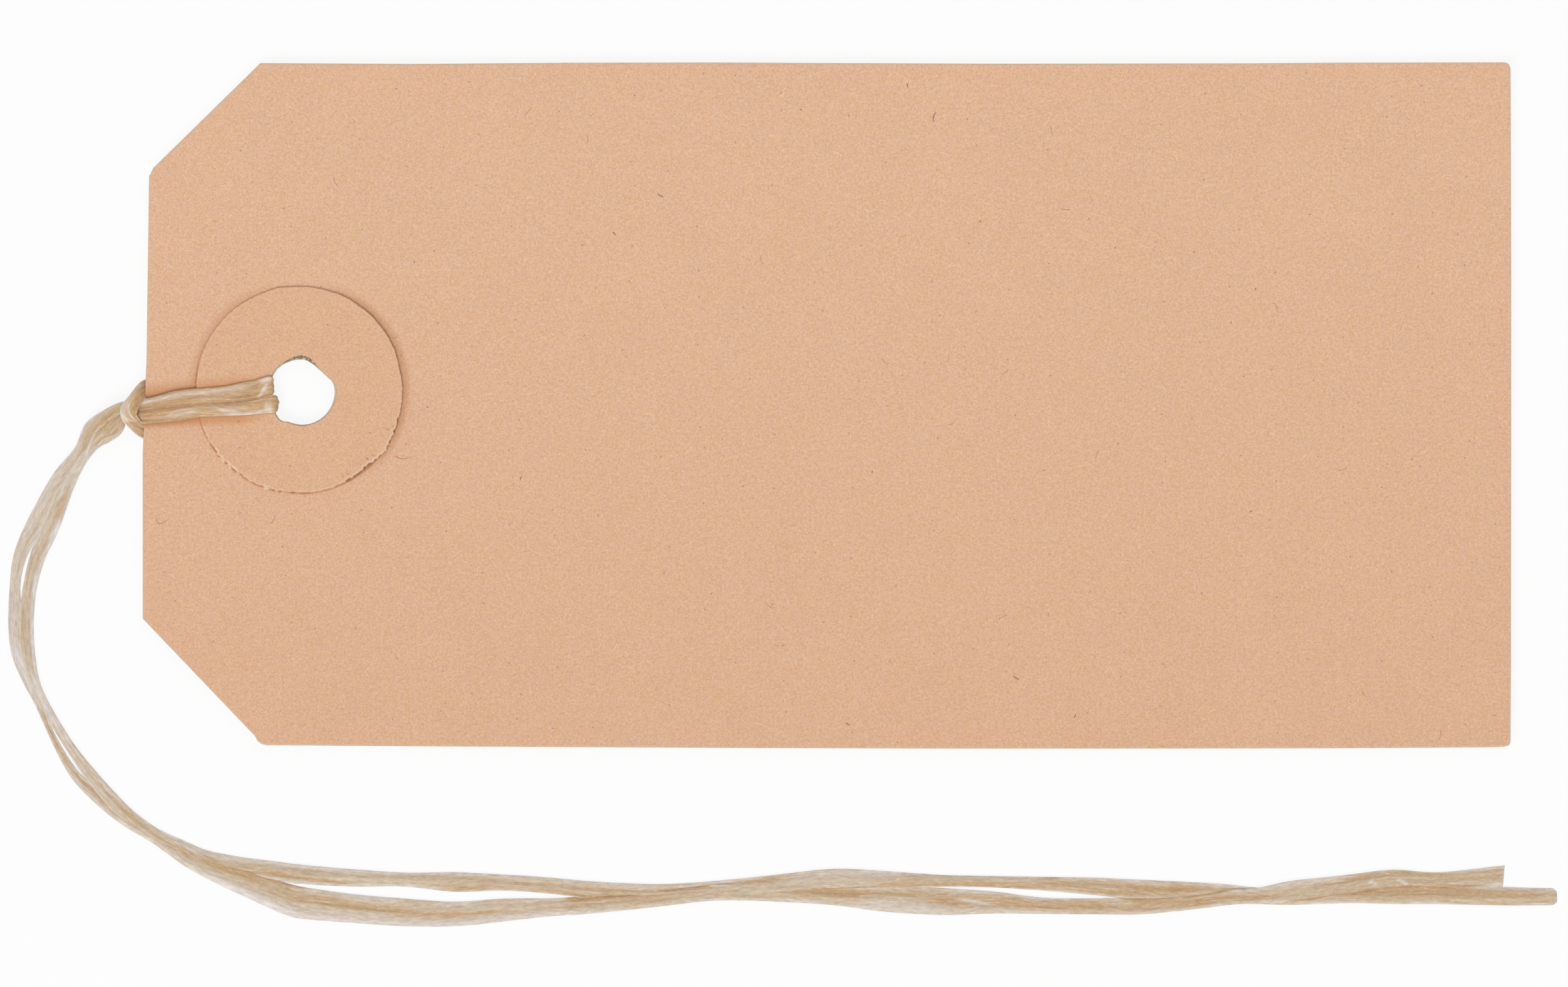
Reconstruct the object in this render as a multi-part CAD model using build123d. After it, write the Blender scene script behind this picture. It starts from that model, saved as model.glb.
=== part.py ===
"""Gift tag: a die-cut card with a patched hole, and a doubled string tied through it by a lark's head hitch.

Millimetres, +Z up. The tag lies face up. The origin is on the surface that it lies on, under the middle of
the card, with +X along the card away from the hole and +Y across it.
"""
import os
from math import sqrt, tan, radians

from build123d import *

# Card, with a slanted corner each side of the hole's end. The die sat a little high and askew on the sheet,
# so the end edge's middle is above the card's centre line and its upper corner stands in from its lower one.
card_length = 120.0
card_width = 60.0
card_thickness = 0.35
corner_cut = 10.4
end_height = 38.9
end_rise = 0.75
end_lean = 0.5

# Punched hole, measured from the end edge's lower corner, and the round patch glued over it on each face
hole_diameter = 5.6
hole_inset = 13.9
hole_rise = 1.2
patch_diameter = 18.3
patch_thickness = 0.2

# String: a flat ribbon, gathered round where it is drawn round the card's end. Its strands lie side by side.
string_width = 1.2
string_thickness = 0.35
gathered_diameter = 0.6
string_clearance = 0.03
strand_gap = 0.06

# Hitch: it stands turned on the hole's axis. Its back runs gather past the rear patch. Its two legs come round
# the card's end beside the front runs, and close in a bar across them.
hitch_turn = 6.4
gather_gap = 0.4
gather_length = 1.2
gather_lead = 0.8
leg_spacing = 3.7
leg_clearance = 0.65
leg_lean = 0.75
bar_reach = 0.3
bar_length = 2.3
bar_clearance = 0.3

# Straight stretch of each tail out of the hitch
inner_lead = 1.0
outer_lead = 1.7

# An arc of the string takes this share of the shorter of its two runs.
arc_share = 0.45

# Heights, from the surface up: the back runs, the rear patch, the card, the front patch, the front runs, the bar
back_run_z = gathered_diameter / 2
rear_patch_z = back_run_z + string_thickness / 2 + string_clearance
card_z = rear_patch_z + patch_thickness
front_patch_z = card_z + card_thickness
front_run_z = front_patch_z + patch_thickness + string_clearance + string_thickness / 2
bar_z = front_run_z + string_thickness / 2 + gathered_diameter / 2 + bar_clearance

# Places on the card
end_x = -card_length / 2
hole_x = end_x + hole_inset
hole_place = Pos(hole_x, hole_rise)
hitch_place = hole_place * Rot(0, 0, hitch_turn)

# Offsets of the strands and legs to each side of the hitch's line
strand_offset = (string_width + strand_gap) / 2
strand_edge = strand_offset + string_width / 2
leg_offset = leg_spacing / 2

# Distances along the hitch's line from the hole's axis: its turn down the hole's wall, the stretch where it
# gathers, its legs, its bar, and the end of its front runs
wall_reach = sqrt((hole_diameter / 2) ** 2 - strand_edge ** 2)
turn_reach = wall_reach - arc_share * (front_run_z - back_run_z)
flat_reach = patch_diameter / 2 + gather_gap
round_reach = flat_reach + gather_length
fan_reach = round_reach + gather_lead
leg_reach = hole_inset + leg_clearance
rise_reach = leg_reach + leg_lean
bar_x = rise_reach + bar_reach
root_reach = bar_x + gathered_diameter / 2 + string_clearance


def arc_radii(points):
    """The radius at each inner point: its share of the shorter run over the tangent of half the turn."""
    radii = []
    for before, here, after in zip(points, points[1:], points[2:]):
        run_in = Vector(here) - Vector(before)
        run_out = Vector(after) - Vector(here)
        half_turn = radians(run_in.get_angle(run_out)) / 2
        radii.append(arc_share * min(run_in.length, run_out.length) / tan(half_turn))
    return radii


def across(point, direction):
    """The plane square to the string at a point, with its X level."""
    return Plane(point, x_dir=Vector(0, 0, 1).cross(direction), z_dir=direction)


def string_along(name, points, section):
    """A solid of one section along straight runs joined by tangent arcs. Its facts are printed for reading."""
    radii = arc_radii(points)
    path = FilletPolyline(*points, radius=radii)
    solid = sweep(across(path @ 0, path % 0) * section, path=path)
    print(name, "length", round(path.length, 1), "radii", [round(radius, 1) for radius in radii])
    print(name, "volume", round(solid.volume, 3), "section times length", round(section.area * path.length, 3))
    return solid


def disc(diameter, thickness, height):
    """A round sheet on the hole's axis with the punched hole through it."""
    ring = Circle(diameter / 2) - Circle(hole_diameter / 2)
    return hole_place * Pos(0, 0, height) * extrude(ring, amount=thickness)


# Card
end_upper_y = end_rise + end_height / 2
end_lower_y = end_rise - end_height / 2
outline = Polyline(
    (-end_x, -card_width / 2),
    (-end_x, card_width / 2),
    (end_x + corner_cut, card_width / 2),
    (end_x + end_lean, end_upper_y),
    (end_x, end_lower_y),
    (end_x + corner_cut, -card_width / 2),
    close=True,
)
card_face = make_face(outline) - hole_place * Circle(hole_diameter / 2)
card = Pos(0, 0, card_z) * extrude(card_face, amount=card_thickness)

# Patches
front_patch = disc(patch_diameter, patch_thickness, front_patch_z)
rear_patch = disc(patch_diameter, patch_thickness, rear_patch_z)

# Hitch: each half runs flat over the front to the hole, down it and back under the card, and gathers past the
# patch. The round bight between the two halves comes up round the card's end and over the front runs.
flat_section = SlotOverall(string_width, string_thickness)
round_section = Circle(gathered_diameter / 2)
half_route = [
    Vector(-root_reach, strand_offset, front_run_z),
    Vector(-turn_reach, strand_offset, front_run_z),
    Vector(-turn_reach, strand_offset, back_run_z),
    Vector(-flat_reach, strand_offset, back_run_z),
]
half_bight = [
    Vector(-round_reach, strand_offset, back_run_z),
    Vector(-fan_reach, strand_offset, back_run_z),
    Vector(-leg_reach, leg_offset, back_run_z),
    Vector(-rise_reach, leg_offset, front_run_z),
    Vector(-bar_x, bar_length / 2, bar_z),
]
bight_route = half_bight + [Vector(point.X, -point.Y, point.Z) for point in reversed(half_bight)]
gather_line = half_bight[0] - half_route[-1]
gather_from = across(half_route[-1], gather_line) * flat_section
gather_to = across(half_bight[0], gather_line) * round_section
gather = loft([gather_from, gather_to])
half_hitch = string_along("half hitch", half_route, flat_section) + gather
bight = string_along("bight", bight_route, round_section)
hitch_loop = hitch_place * (half_hitch + mirror(half_hitch, about=Plane.XZ) + bight)


# Tails: each leaves its front run under the bar, drops to the surface, bends round below the card and runs
# along it. The outer one humps over the inner one near their cut ends. Their edges are left square.
def tail_root(offset, lead):
    """The tail's first two points, straight out of the front run's end, at its offset from the hitch's line."""
    reaches = (root_reach, root_reach + lead)
    return [(hitch_place * Pos(-reach, offset, front_run_z)).position for reach in reaches]


outer_route = tail_root(strand_offset, outer_lead) + [
    (-64.95, -2.35, 1.25),
    (-67.5, -6.7, 0.7),
    (-70.26, -12.35, 0.35),
    (-71.1, -18.15, 0.26),
    (-70.5, -23.1, 0.26),
    (-68.2, -28.0, 0.26),
    (-65.4, -33.0, 0.26),
    (-60.5, -37.2, 0.26),
    (-53.5, -41.25, 0.26),
    (-46.2, -43.55, 0.26),
    (-37.0, -44.4, 0.26),
    (-28.5, -44.25, 0.26),
    (-20.4, -43.8, 0.26),
    (-10.2, -43.1, 0.26),
    (0.6, -43.0, 0.26),
    (10.3, -43.5, 0.26),
    (18.9, -43.85, 0.26),
    (27.5, -44.0, 0.3),
    (33.2, -43.7, 0.78),
    (41.4, -42.2, 0.78),
    (46.9, -41.6, 0.3),
    (53.5, -41.45, 0.26),
    (59.4, -41.3, 0.26),
]
inner_route = tail_root(-strand_offset, inner_lead) + [
    (-63.8, -3.05, 1.25),
    (-66.4, -7.4, 0.7),
    (-68.9, -12.8, 0.35),
    (-69.75, -18.05, 0.26),
    (-69.2, -22.6, 0.26),
    (-67.05, -27.3, 0.26),
    (-64.4, -32.0, 0.26),
    (-59.75, -36.05, 0.26),
    (-53.0, -39.95, 0.26),
    (-46.2, -41.1, 0.26),
    (-37.0, -41.55, 0.26),
    (-28.5, -41.8, 0.26),
    (-20.4, -42.35, 0.26),
    (-10.2, -41.75, 0.26),
    (0.6, -41.4, 0.26),
    (10.3, -41.65, 0.26),
    (18.9, -41.9, 0.26),
    (27.5, -42.2, 0.26),
    (37.8, -43.05, 0.26),
    (46.9, -43.25, 0.26),
    (53.5, -42.95, 0.26),
    (58.9, -43.1, 0.26),
    (64.0, -43.0, 0.26),
]
tail_section = Rectangle(string_width, string_thickness)
outer_tail = string_along("outer tail", outer_route, tail_section)
inner_tail = string_along("inner tail", inner_route, tail_section)

nodes = {
    "card": card,
    "front_patch": front_patch,
    "rear_patch": rear_patch,
    "hitch_loop": hitch_loop,
    "outer_tail": outer_tail,
    "inner_tail": inner_tail,
}
os.makedirs("parts", exist_ok=True)
for name, solid in nodes.items():
    export_step(solid, f"parts/{name}.step")
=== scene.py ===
import bpy
import numpy as np
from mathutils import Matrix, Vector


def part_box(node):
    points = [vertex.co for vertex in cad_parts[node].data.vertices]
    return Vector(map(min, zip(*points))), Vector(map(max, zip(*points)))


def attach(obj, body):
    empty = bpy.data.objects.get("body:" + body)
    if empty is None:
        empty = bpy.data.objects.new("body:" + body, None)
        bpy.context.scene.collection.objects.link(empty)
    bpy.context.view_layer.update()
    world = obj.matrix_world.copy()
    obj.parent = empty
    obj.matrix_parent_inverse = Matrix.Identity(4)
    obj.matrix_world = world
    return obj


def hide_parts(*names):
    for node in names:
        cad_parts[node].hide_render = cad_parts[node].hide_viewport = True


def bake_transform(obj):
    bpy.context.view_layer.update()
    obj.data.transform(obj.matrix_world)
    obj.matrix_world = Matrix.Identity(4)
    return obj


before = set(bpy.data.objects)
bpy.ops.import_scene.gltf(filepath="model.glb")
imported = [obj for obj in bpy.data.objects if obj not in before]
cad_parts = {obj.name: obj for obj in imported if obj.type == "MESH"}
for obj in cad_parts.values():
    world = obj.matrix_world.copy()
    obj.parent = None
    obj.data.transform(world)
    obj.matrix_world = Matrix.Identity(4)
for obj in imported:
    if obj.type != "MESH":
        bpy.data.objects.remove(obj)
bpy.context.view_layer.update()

# ---------------------------------------------------------------------------------------------------------------
# Card: one die-cut sheet of uncoated buff card with two slanted corners and a punched hole. The die leaves a pale
# burr along the cut, blunt tips on the slanted corners and a ragged edge in the hole.
MM = 0.001
card_low, card_high = (corner.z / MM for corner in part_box("card"))
card_corners = np.array([
    (59.98, -29.5), (60.02, -22.0), (60.04, -5.0), (60.04, 12.0), (60.02, 21.0), (59.98, 29.5), (59.82, 29.9),
    (59.48, 30.04), (45.0, 30.01), (37.0, 29.95), (15.0, 29.92), (2.0, 29.97), (-10.0, 30.03), (-23.0, 30.0),
    (-36.0, 29.9), (-49.62, 29.97), (-59.03, 20.76), (-59.27, 20.21), (-59.38, 20.11), (-59.6, 4.11),
    (-59.94, -4.45), (-59.93, -18.72), (-50.12, -28.98), (-49.86, -29.44), (-49.53, -29.69), (-49.1, -29.8),
    (-32.0, -29.92), (-6.0, -30.05), (11.0, -30.1), (28.0, -30.1), (45.0, -30.07), (58.3, -29.98), (59.4, -29.93),
    (59.86, -29.8),
])
hole_centre = np.array([-46.04, 1.17])
patch_centre = np.array([-46.22, 1.37])
hole_degrees = [0, 13, 21, 27, 38, 55, 71, 84, 96, 112, 125, 138, 152, 165, 190, 215, 224, 231, 238, 246, 259, 271,
                293, 321, 346, 360]
hole_radii = [2.93, 2.9, 2.8, 2.66, 2.52, 2.5, 2.67, 2.84, 2.84, 2.86, 2.88, 2.9, 2.86, 2.8, 2.8, 2.84, 2.98, 3.07,
              3.04, 2.86, 2.84, 2.88, 2.91, 2.92, 2.92, 2.93]
ledge_degrees = [0, 20, 40, 60, 78, 90, 104, 118, 150, 180, 250, 262, 275, 290, 340, 360]
ledge_widths = [0.2, 0.14, 0.06, 0.16, 0.32, 0.34, 0.26, 0.12, 0.08, 0.04, 0.04, 0.1, 0.08, 0.05, 0.12, 0.2]


def around(centre, turn, reach):
    """Points at a distance from a centre, each in the direction of its own angle."""
    return centre + np.column_stack([np.cos(turn), np.sin(turn)]) * np.asarray(reach)[:, None]


def along_outline(corners, step, closest):
    """Points at even steps along the straight edges of a closed outline, with its corners among them. A point is
    left out where the next one is nearer than the closest distance.
    """
    closed = np.vstack([corners, corners[:1]])
    travelled = np.concatenate([[0.0], np.cumsum(np.linalg.norm(np.diff(closed, axis=0), axis=1))])
    stops = np.union1d(np.arange(0.0, travelled[-1], step), travelled)
    stops = stops[:-1][np.diff(stops) > closest]
    return np.column_stack([np.interp(stops, travelled, closed[:, axis]) for axis in (0, 1)])


def put_closed(name, points, quads):
    """A smooth closed mesh of quads through points in millimetres. The sum over its triangles of one corner's dot
    product with the cross product of the other two is negative where the faces point inwards, and they are turned.
    """
    corner = points[quads]
    first = np.cross(corner[:, 1], corner[:, 2])
    second = np.cross(corner[:, 2], corner[:, 3])
    if np.sum(corner[:, 0] * (first + second)) < 0:
        quads = quads[:, ::-1]
    mesh = bpy.data.meshes.new(name)
    mesh.from_pydata((points * MM).tolist(), [], quads.tolist())
    mesh.shade_smooth()
    piece = bpy.data.objects.new(name, mesh)
    bpy.context.scene.collection.objects.link(piece)
    return piece


def ring_quads(rows, columns, closed):
    """Corner numbers of the quads of a grid whose columns close on themselves, as its rows do where asked."""
    index = np.arange(rows * columns).reshape(rows, columns)
    index = np.hstack([index, index[:, :1]])
    if closed:
        index = np.vstack([index, index[:1]])
    return np.stack([index[:-1, :-1], index[1:, :-1], index[1:, 1:], index[:-1, 1:]], axis=-1).reshape(-1, 4)


def mark(piece, name, values):
    """Keeps one value for each point of a piece, which its material reads."""
    kept = piece.data.attributes.new(name, "FLOAT", "POINT")
    kept.data.foreach_set("value", np.ascontiguousarray(values, dtype=np.float32).ravel())


def holed_sheet(name, hole_edge, outer_edge, low, high, edge_round, rim_lift):
    """A flat sheet between a hole's edge and an outer edge that are given as equal numbers of points. Its section
    runs over the top from hole to rim and back below, at distances that are counted from the nearer edge, square to
    it, and both edges are rounded. The rim's lift dies away inwards as the exponential of minus the distance.
    """
    least_square = 0.2
    lift_reach = 0.45
    lift_below = 0.7
    gap = outer_edge - hole_edge
    span = np.linalg.norm(gap, axis=1)[:, None]
    heading = gap / span
    tangent = np.roll(outer_edge, -1, axis=0) - np.roll(outer_edge, 1, axis=0)
    tangent /= np.linalg.norm(tangent, axis=1)[:, None]
    square = np.abs(heading[:, 0] * tangent[:, 1] - heading[:, 1] * tangent[:, 0])[:, None]
    slant = 1.0 / np.maximum(square, least_square)
    share = np.array([0, 0, 0, 0, 0.08, 0.2, 0.4, 0.6, 0.8, 0.92, 1, 1, 1, 1, 1])
    inset = np.array([0, 0.25, 1, 4, 0, 0, 0, 0, 0, 0, -8, -4, -1, -0.25, 0]) * edge_round
    drop = np.array([1, 0.25, 0, 0, 0, 0, 0, 0, 0, 0, 0, 0, 0, 0.25, 1]) * edge_round
    reach = share * span + inset * np.where(share == 1, slant, 1.0)
    flat = hole_edge[:, None, :] + heading[:, None, :] * reach[:, :, None]
    to_rim = (span - reach) / slant
    lift = rim_lift[:, None] * np.exp(-to_rim / lift_reach)
    top = np.dstack([flat, high - drop + lift])
    bottom = np.dstack([flat, low + drop + lift_below * lift])
    section = np.concatenate([top, bottom[:, ::-1]], axis=1)
    piece = put_closed(name, section.reshape(-1, 3), ring_quads(len(section), section.shape[1], True))
    mark(piece, "from_rim", np.hstack([to_rim, to_rim[:, ::-1]]))
    mark(piece, "from_hole", np.hstack([reach, reach[:, ::-1]]))
    return piece


class Shade:
    """One socket of a material's nodes. Arithmetic on it adds Math nodes, and node() adds a node of any kind."""

    def __init__(self, tree, socket=None):
        self.tree = tree
        self.socket = socket

    def node(self, kind, settings={}, sockets={}, output=0):
        """A node of that kind. Its settings are set first, and each named socket then gets its value or link."""
        made = self.tree.nodes.new(kind)
        for name, value in settings.items():
            setattr(made, name, value)
        for name, value in sockets.items():
            if isinstance(value, Shade):
                self.tree.links.new(made.inputs[name], value.socket)
            else:
                made.inputs[name].default_value = value
        return Shade(self.tree, made.outputs[output] if made.outputs else None)

    def out(self, name):
        """Another output of the same node."""
        return Shade(self.tree, self.socket.node.outputs[name])

    def math(self, operation, *values):
        return self.node("ShaderNodeMath", {"operation": operation}, dict(enumerate(values)))

    def vector(self, operation, *values):
        return self.node("ShaderNodeVectorMath", {"operation": operation}, dict(enumerate(values)))

    def __add__(self, other):
        return self.math("ADD", self, other)

    def __sub__(self, other):
        return self.math("SUBTRACT", self, other)

    def __rsub__(self, other):
        return self.math("SUBTRACT", other, self)

    def __mul__(self, other):
        return self.math("MULTIPLY", self, other)

    __radd__ = __add__
    __rmul__ = __mul__

    def step(self, start, end):
        """A smooth step from nought at start to one at end."""
        bounds = {"Value": self, "From Min": start, "From Max": end}
        return self.node("ShaderNodeMapRange", {"interpolation_type": "SMOOTHSTEP"}, bounds)

    def mix(self, under, over):
        """One colour where this mask is nought, the other where it is one."""
        return self.node("ShaderNodeMix", {"data_type": "RGBA"}, {0: self, 6: under, 7: over}, 2)

    def noise(self, scale, detail=2.0, roughness=0.5):
        """Noise over this vector, about nought to one."""
        sockets = {"Vector": self, "Scale": scale, "Detail": detail, "Roughness": roughness}
        return self.node("ShaderNodeTexNoise", {}, sockets)

    def split(self):
        """The X of this vector, with its Y and Z as other outputs."""
        return self.node("ShaderNodeSeparateXYZ", {}, {"Vector": self})

    def kept(self, name):
        """The value that mark() kept under that name."""
        return self.node("ShaderNodeAttribute", {"attribute_name": name}, output="Fac")


def colour(red, green, blue):
    """A colour as a screen shows it, 0 to 255, in the linear light that a shader takes."""
    shown = np.array([red, green, blue]) / 255.0
    linear = np.where(shown <= 0.04045, shown / 12.92, ((shown + 0.055) / 1.055) ** 2.4)
    return (*linear.tolist(), 1.0)


def start_finish(name):
    """A new material, with Object coordinates in millimetres to work its pattern from."""
    material = bpy.data.materials.new(name)
    material.use_nodes = True
    material.node_tree.nodes.clear()
    place = Shade(material.node_tree).node("ShaderNodeTexCoord", output="Object")
    return material, place.node("ShaderNodeVectorMath", {"operation": "SCALE"}, {0: place, "Scale": 1.0 / MM})


def end_finish(place, sockets):
    """The surface: a Principled shader with those sockets."""
    surface = place.node("ShaderNodeBsdfPrincipled", {}, sockets)
    place.node("ShaderNodeOutputMaterial", {}, {"Surface": surface})


def strewn_fibres(place, spacing, half_length, half_width, share, bend):
    """Short curved fibres in the pulp. A share of the cells of a Voronoi pattern hold one each, at the cell's point
    and turned by the cell's random angle: the mask is one where y + bend * x * x is under the half width and x is
    under the half length.
    """
    cells = place.node("ShaderNodeTexVoronoi", {"voronoi_dimensions": "2D"},
                       {"Vector": place, "Scale": 1.0 / spacing, "Randomness": 0.8})
    chance = place.node("ShaderNodeSeparateColor", {}, {"Color": cells.out("Color")})
    offset = place.vector("SUBTRACT", place, cells.out("Position"))
    x = offset.split()
    y = x.out("Y")
    turn = chance * (2 * np.pi)
    along = x * turn.math("COSINE", turn) + y * turn.math("SINE", turn)
    across = y * turn.math("COSINE", turn) - x * turn.math("SINE", turn)
    curl = along * along * (chance.out("Green") - 0.5) * bend
    narrow = place.math("ABSOLUTE", across + curl).step(half_width, 0.4 * half_width)
    short = place.math("ABSOLUTE", along).step(half_length, 0.8 * half_length)
    return narrow * short * chance.out("Blue").step(1.0 - share, 1.001 - share)


def paper_pulp(place, middle, spread):
    """Uncoated buff paper about one middle colour: a cloudy body, a coarse and a fine grain with pinker and
    yellower grains, dark specks, and a few dark and pale fibres. Gives its colour and the height of its grain.
    """
    light = colour(*(np.array(middle) + spread))
    dark = colour(*(np.array(middle) - spread))
    cloud = place.noise(0.15, 2.0)
    grain = 0.45 * place.noise(4.6, 2.0, 0.8) + 0.55 * place.noise(10.0, 2.0, 0.8)
    tint = place.noise(1.1, 4.0, 0.75)
    body = (0.04 * cloud + 0.96 * grain).step(0.34, 0.66).mix(dark, light)
    hue = place.vector("ADD", place, (31.0, 17.0, 0.0)).noise(8.0, 2.0, 0.8).step(0.3, 0.7)
    warmer = place.vector("MULTIPLY", body, (0.97, 0.9, 0.83))
    cooler = place.vector("MULTIPLY", body, (1.03, 1.1, 1.17))
    body = hue.mix(warmer, cooler)
    body = (tint.step(0.5, 0.75) * 0.45).mix(body, colour(229, 181, 137))
    body = (tint.step(0.5, 0.25) * 0.45).mix(body, colour(221, 180, 162))
    cells = place.node("ShaderNodeTexVoronoi", {"voronoi_dimensions": "2D"}, {"Vector": place, "Scale": 0.3})
    chosen = place.node("ShaderNodeSeparateColor", {}, {"Color": cells.out("Color")})
    specks = cells.step(0.03, 0.012) * chosen.step(0.55, 0.57)
    body = (specks * 0.5).mix(body, colour(128, 84, 58))
    dark_fibres = strewn_fibres(place, 7.5, 0.45, 0.04, 0.16, 2.2)
    body = (dark_fibres * 0.55).mix(body, colour(132, 90, 64))
    pale_fibres = strewn_fibres(place, 2.7, 0.5, 0.05, 0.5, 1.6)
    body = (pale_fibres * 0.3).mix(body, colour(246, 218, 190))
    return body, grain + 0.4 * pale_fibres


def towards(place, centre, degrees, start, end):
    """A mask by direction from a centre: a smooth step of the cosine of the angle between it and the one given."""
    offset = place.vector("SUBTRACT", place, (*centre, 0.0))
    flat = place.vector("MULTIPLY", offset, (1.0, 1.0, 0.0))
    aim = (np.cos(np.radians(degrees)), np.sin(np.radians(degrees)), 0.0)
    return place.vector("DOT_PRODUCT", place.vector("NORMALIZE", flat), aim).out("Value").step(start, end)


def painted_string_shade(place, body):
    """The face's colour with painted shade and warm bounced light beside the string: a soft band on each side of
    its runs, wider above them, that is left bare under the string and fades at the hole.
    """
    x = place.split()
    beside = x.out("Y") - 0.085 * x - 4.94
    under = beside.step(-1.2, -0.9) * beside.step(0.75, 0.3)
    below = x.out("Y") - 0.049 * x
    string_shade_mask = (1.0 - under) * beside.step(2.4, 1.0) * below.step(0.6, 1.35) * x.step(-48.4, -51.5)
    return (string_shade_mask * 0.72).mix(body, colour(205, 141, 94))


def end_paper(place, body, grain):
    """Ends an uncoated paper's material, with its grain as fine relief."""
    bump = place.node("ShaderNodeBump", {}, {"Height": grain, "Strength": 0.35, "Distance": 0.02 * MM})
    end_finish(place, {"Base Color": body, "Roughness": 0.85, "Specular IOR Level": 0.25, "Normal": bump})


card_outline = along_outline(card_corners, step=0.5, closest=0.02)
card_turn = np.arctan2(*(card_outline - hole_centre).T[::-1])
card_degrees = np.degrees(card_turn) % 360
card_hole = around(hole_centre, card_turn, np.interp(card_degrees, hole_degrees, hole_radii))
card = holed_sheet("buff_card", card_hole, card_outline, card_low, card_high, 0.07, np.zeros(len(card_outline)))

card_finish, place = start_finish("buff_card")
card_body, card_grain = paper_pulp(place, (223, 180, 147), 13)
# Painted shade: the card is made a little darker towards the bottom, where less light falls on it.
height_on_card = place.split().out("Y")
card_body = (height_on_card.step(25.0, -40.0) * 0.09).mix(card_body, colour(165, 108, 66))
rim = place.kept("from_rim")
burr = rim.step(0.16, 0.04) * place.noise(1.3, 2.0).step(0.3, 0.6)
card_body = (burr * 0.75).mix(card_body, colour(202, 191, 172))
# Painted shade round the front patch: a broken dark line outside its rim on the frayed side, and soft bands outside
# it to the right and upper left, in place of the shadow of its raised rim.
flat_place = place.vector("MULTIPLY", place, (1.0, 1.0, 0.0))
to_patch = place.vector("DISTANCE", flat_place, (*patch_centre, 0.0)).out("Value")
frays = place.noise(1.6, 3.0, 0.7)
painted_fray_shade = (0.25 + 0.5 * frays.step(0.4, 0.6)) * to_patch.step(9.28, 9.08)
painted_rim_shade = (painted_fray_shade * towards(place, patch_centre, 235, -0.3, 0.6)
               + 0.42 * to_patch.step(10.0, 9.25) * towards(place, patch_centre, 12, 0.3, 0.85)
               + 0.3 * to_patch.step(10.1, 9.0) * towards(place, patch_centre, 150, 0.6, 0.95))
card_body = painted_rim_shade.mix(card_body, colour(180, 116, 70))
# Painted shadow: a dark broken line on the card under the lifted torn part of the patch's rim.
torn_side = towards(place, patch_centre, 318, 0.82, 0.97)
painted_tear_shadow = to_patch.step(9.3, 9.1) * torn_side * place.noise(2.0, 3.0).step(0.3, 0.5)
card_body = (painted_tear_shadow * 0.5).mix(card_body, colour(140, 92, 54))
fray_tips = frays.step(0.5, 0.4) * to_patch.step(9.26, 9.18) * towards(place, patch_centre, 236, 0.86, 0.97)
card_body = (fray_tips * 0.75).mix(card_body, colour(242, 218, 192))
# Painted shade and warm bounced light beside the string's runs.
card_body = painted_string_shade(place, card_body)
cut = place.kept("from_hole").step(0.42, 0.3)
ledge_mottle = place.noise(3.0, 4.0, 0.7).step(0.35, 0.62) * towards(place, hole_centre, 95, 0.7, 0.95)
card_body = cut.mix(card_body, ledge_mottle.mix(colour(206, 190, 168), colour(108, 90, 76)))
end_paper(place, card_body, card_grain)
card.data.materials.append(card_finish)
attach(card, "tag")
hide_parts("card")

# ---------------------------------------------------------------------------------------------------------------
# Patches: a round of the same paper glued over the hole on each face, so that the string can't tear it out. They
# were cut with a worn punch, which left the rim torn on one side and lifted on the other.
patch_points = 900
patch_radius = 9.03
patch_turn = np.linspace(0.0, 2 * np.pi, patch_points, endpoint=False)
patch_degrees = np.degrees(patch_turn)


def ragged(seed, fineness):
    """Random heights round the rim, each the mean of its neighbours over a short stretch, scaled to spread one."""
    raw = np.random.default_rng(seed).normal(size=patch_points)
    kernel = np.hanning(fineness + 2)
    smooth = np.convolve(np.concatenate([raw, raw, raw]), kernel, "same")[patch_points:2 * patch_points]
    return smooth / np.std(smooth)


def bell(degrees, breadth):
    """One at an angle of the rim, falling off to both sides as a bell curve of that breadth in degrees."""
    away = (patch_degrees - degrees + 180) % 360 - 180
    return np.exp(-(away / breadth) ** 2)


def patch_sheet(name, node, seed, tear_at, hole_gap):
    """A round sheet whose rim is its mean radius plus two ragged runs, the finer one deepest about one angle."""
    low, high = (corner.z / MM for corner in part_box(node))
    torn = bell(tear_at, 24.0)
    frayed = bell(tear_at - 85, 32.0)
    bulge = bell(tear_at + 7, 8.0)
    coarse = 0.025 * ragged(seed, 60)
    fine = (0.012 + 0.07 * torn + 0.03 * frayed) * ragged(seed + 1, 7)
    rim = patch_radius + 0.24 * bulge + coarse + fine
    turn = np.arctan2(*(around(patch_centre, patch_turn, rim) - hole_centre).T[::-1])
    degrees = np.degrees(turn) % 360
    hole = np.interp(degrees, hole_degrees, hole_radii) + hole_gap * np.interp(degrees, ledge_degrees, ledge_widths)
    hole += 0.012 * ragged(seed + 2, 9)
    lift = 0.06 * bell(10, 50.0) + 0.08 * torn
    hole_edge = around(hole_centre, turn, hole)
    rim_edge = around(patch_centre, patch_turn, rim)
    piece = holed_sheet(name, hole_edge, rim_edge, low, high, 0.05, lift)
    section_points = len(piece.data.vertices) // patch_points
    mark(piece, "torn", np.repeat(torn, section_points))
    mark(piece, "frayed", np.repeat(frayed, section_points))
    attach(piece, "tag")
    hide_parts(node)
    return piece


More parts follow.
